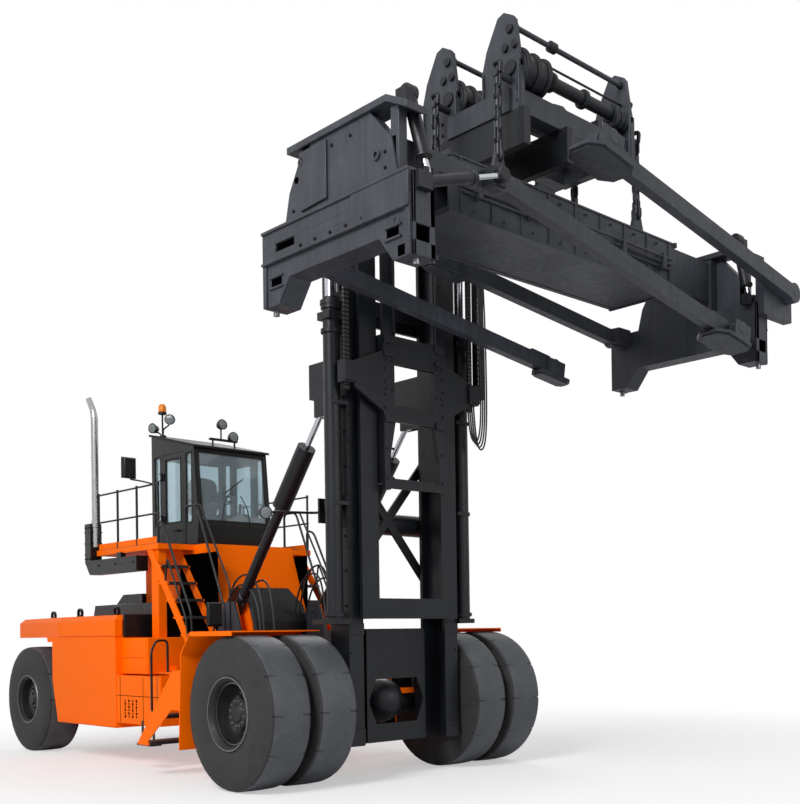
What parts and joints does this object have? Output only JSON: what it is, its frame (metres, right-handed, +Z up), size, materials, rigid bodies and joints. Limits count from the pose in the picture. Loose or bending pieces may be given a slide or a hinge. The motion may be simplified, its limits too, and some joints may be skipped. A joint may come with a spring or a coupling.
{
  "type": "container handling lift truck",
  "caption": "Heavy lift truck with a two-stage mast and a telescopic container spreader with folding lift legs, on twin drive wheels and steered rear wheels.",
  "frame": {"origin": "on the ground, under the middle of the whole truck's box", "axes": "+X to the truck's left, -Y to its front, where the mast is, +Z up"},
  "size_m": [6.5, 11.703, 8.5],
  "materials": {
    "orange_paint": "gloss paint, lightly dusty",
    "black_paint": "satin paint",
    "charcoal_paint": "satin paint",
    "tyre_rubber": "worn",
    "rim_paint": "satin paint",
    "chromed_rod": "polished",
    "stainless_pipe": "heat stained",
    "chain_steel": "oiled",
    "lock_steel": "machined",
    "seat_cover": "woven",
    "column_plastic": "moulded"
  },
  "bodies": {
    "chassis": {"chassis_frame": "orange_paint", "landing": "orange_paint", "side_box_left": "orange_paint", "side_box_right": "orange_paint", "counterweight": "orange_paint", "engine_block": "black_paint", "hood_cowl": "black_paint", "fender_left": "orange_paint", "fender_right": "orange_paint", "lower_steps_left": "orange_paint", "lower_steps_right": "orange_paint", "stairs_left": "orange_paint", "stairs_right": "orange_paint", "platform": "orange_paint", "handrails": "black_paint", "exhaust": "stainless_pipe", "cab_base": "orange_paint", "front_cover": "black_paint", "cab_shell": "black_paint", "driver_seat": "seat_cover", "steering_column": "column_plastic", "drive_axle": "black_paint", "steer_axle": "black_paint"},
    "hood_lid": {"hood_lid": "black_paint"},
    "cab_door_left": {"cab_door_left": "black_paint"},
    "drive_wheel_left": {"drive_tyres_left": "tyre_rubber", "drive_rims_left": "rim_paint"},
    "knuckle_left": {"knuckle_left": "black_paint"},
    "steer_wheel_left": {"steer_tyre_left": "tyre_rubber", "steer_rim_left": "rim_paint"},
    "tilt_barrel_left": {"tilt_barrel_left": "black_paint"},
    "tilt_rod_left": {"tilt_rod_left": "chromed_rod"},
    "cab_door_right": {"cab_door_right": "black_paint"},
    "drive_wheel_right": {"drive_tyres_right": "tyre_rubber", "drive_rims_right": "rim_paint"},
    "knuckle_right": {"knuckle_right": "black_paint"},
    "steer_wheel_right": {"steer_tyre_right": "tyre_rubber", "steer_rim_right": "rim_paint"},
    "tilt_barrel_right": {"tilt_barrel_right": "black_paint"},
    "tilt_rod_right": {"tilt_rod_right": "chromed_rod"},
    "outer_mast": {"outer_mast": "black_paint", "mast_brace": "black_paint", "mast_brackets": "black_paint", "lift_barrels": "black_paint"},
    "inner_mast": {"inner_mast": "black_paint", "lift_rods": "chromed_rod", "lift_chains": "chain_steel"},
    "carriage": {"carriage": "charcoal_paint", "carriage_arms": "charcoal_paint"},
    "spreader": {"hanger_frame": "charcoal_paint", "spreader_beam": "charcoal_paint"},
    "telescopic_left": {"telescopic_left": "charcoal_paint", "twistlocks_left": "lock_steel"},
    "telescopic_right": {"telescopic_right": "charcoal_paint", "twistlocks_right": "lock_steel"},
    "leg_front_left": {"leg_front_left": "charcoal_paint"},
    "leg_front_right": {"leg_front_right": "charcoal_paint"},
    "leg_rear_left": {"leg_rear_left": "charcoal_paint"},
    "leg_rear_right": {"leg_rear_right": "charcoal_paint"}
  },
  "joints": [
    {"name": "hood_lid_hinge", "type": "hinge", "parent": "chassis", "child": "hood_lid", "pos_m": [-0.83, 4.5065, 2.15], "axis": [-1, 0, 0], "range_deg": [0, 60]},
    {"name": "cab_door_left_hinge", "type": "hinge", "parent": "chassis", "child": "cab_door_left", "pos_m": [-0.186, 2.4415, 3.6], "axis": [0, 0, 1], "range_deg": [0, 85]},
    {"name": "drive_wheel_left_spin", "type": "hinge", "parent": "chassis", "child": "drive_wheel_left", "pos_m": [0.73, -1.8985, 0.905], "axis": [1, 0, 0], "continuous": true},
    {"name": "cab_door_right_hinge", "type": "hinge", "parent": "chassis", "child": "cab_door_right", "pos_m": [-1.474, 2.4415, 3.6], "axis": [0, 0, -1], "range_deg": [0, 85]},
    {"name": "drive_wheel_right_spin", "type": "hinge", "parent": "chassis", "child": "drive_wheel_right", "pos_m": [-2.39, -1.8985, 0.905], "axis": [1, 0, 0], "continuous": true},
    {"name": "steer_left", "type": "hinge", "parent": "chassis", "child": "knuckle_left", "pos_m": [0.2, 4.8615, 0.835], "axis": [0, 0, 1], "range_deg": [-60, 60]},
    {"name": "steer_right", "type": "hinge", "parent": "chassis", "child": "knuckle_right", "pos_m": [-1.86, 4.8615, 0.835], "axis": [0, 0, 1], "range_deg": [-60, 60]},
    {"name": "steer_wheel_left_spin", "type": "hinge", "parent": "knuckle_left", "child": "steer_wheel_left", "pos_m": [0.625, 4.8615, 0.835], "axis": [1, 0, 0], "continuous": true},
    {"name": "steer_wheel_right_spin", "type": "hinge", "parent": "knuckle_right", "child": "steer_wheel_right", "pos_m": [-2.285, 4.8615, 0.835], "axis": [1, 0, 0], "continuous": true},
    {"name": "mast_tilt", "type": "hinge", "parent": "chassis", "child": "outer_mast", "pos_m": [-0.83, -2.2285, 0.905], "axis": [1, 0, 0], "range_deg": [-8, 5]},
    {"name": "mast_lift", "type": "slide", "parent": "outer_mast", "child": "inner_mast", "axis": [0, 0, 1], "range_m": [-1.3, 2.15]},
    {"name": "carriage_lift", "type": "slide", "parent": "inner_mast", "child": "carriage", "axis": [0, 0, 1], "range_m": [-1.3, 2.15]},
    {"name": "side_shift", "type": "slide", "parent": "carriage", "child": "spreader", "axis": [1, 0, 0], "range_m": [-1.2, 0]},
    {"name": "telescope_left", "type": "slide", "parent": "spreader", "child": "telescopic_left", "axis": [1, 0, 0], "range_m": [0, 3.07]},
    {"name": "telescope_right", "type": "slide", "parent": "spreader", "child": "telescopic_right", "axis": [-1, 0, 0], "range_m": [0, 3.07]},
    {"name": "leg_front_left_fold", "type": "hinge", "parent": "telescopic_left", "child": "leg_front_left", "pos_m": [3.12, -5.7565, 6.2], "axis": [0, -1, 0], "range_deg": [0, 100]},
    {"name": "leg_front_right_fold", "type": "hinge", "parent": "telescopic_right", "child": "leg_front_right", "pos_m": [-1.98, -5.4065, 6.33], "axis": [0, 1, 0], "range_deg": [0, 79]},
    {"name": "leg_rear_left_fold", "type": "hinge", "parent": "telescopic_left", "child": "leg_rear_left", "pos_m": [2.37, -3.3285, 5.95], "axis": [0, -1, 0], "range_deg": [0, 96]},
    {"name": "leg_rear_right_fold", "type": "hinge", "parent": "telescopic_right", "child": "leg_rear_right", "pos_m": [-2.83, -3.1085, 5.98], "axis": [0, 1, 0], "range_deg": [0, 82]},
    {"name": "tilt_cylinder_left_pin", "type": "hinge", "parent": "chassis", "child": "tilt_barrel_left", "pos_m": [-0.13, 0.2415, 2.17], "axis": [1, 0, 0], "range_deg": [-6.7, 4.3]},
    {"name": "tilt_cylinder_left_rod", "type": "slide", "parent": "tilt_barrel_left", "child": "tilt_rod_left", "axis": [0, -0.638, 0.77], "range_m": [-0.39, 0.25]},
    {"name": "tilt_cylinder_right_pin", "type": "hinge", "parent": "chassis", "child": "tilt_barrel_right", "pos_m": [-1.53, 0.2415, 2.17], "axis": [1, 0, 0], "range_deg": [-6.7, 4.3]},
    {"name": "tilt_cylinder_right_rod", "type": "slide", "parent": "tilt_barrel_right", "child": "tilt_rod_right", "axis": [0, -0.638, 0.77], "range_m": [-0.39, 0.25]}
  ],
  "couplings": [
    {"joint": "steer_right", "follows": "steer_left", "ratio": 1},
    {"joint": "carriage_lift", "follows": "mast_lift", "ratio": 1},
    {"joint": "telescope_right", "follows": "telescope_left", "ratio": 1},
    {"joint": "tilt_cylinder_left_pin", "follows": "mast_tilt", "ratio": 0.8108},
    {"joint": "tilt_cylinder_left_rod", "follows": "mast_tilt", "m_per_rad": 2.709},
    {"joint": "tilt_cylinder_right_pin", "follows": "mast_tilt", "ratio": 0.8108},
    {"joint": "tilt_cylinder_right_rod", "follows": "mast_tilt", "m_per_rad": 2.709}
  ]
}
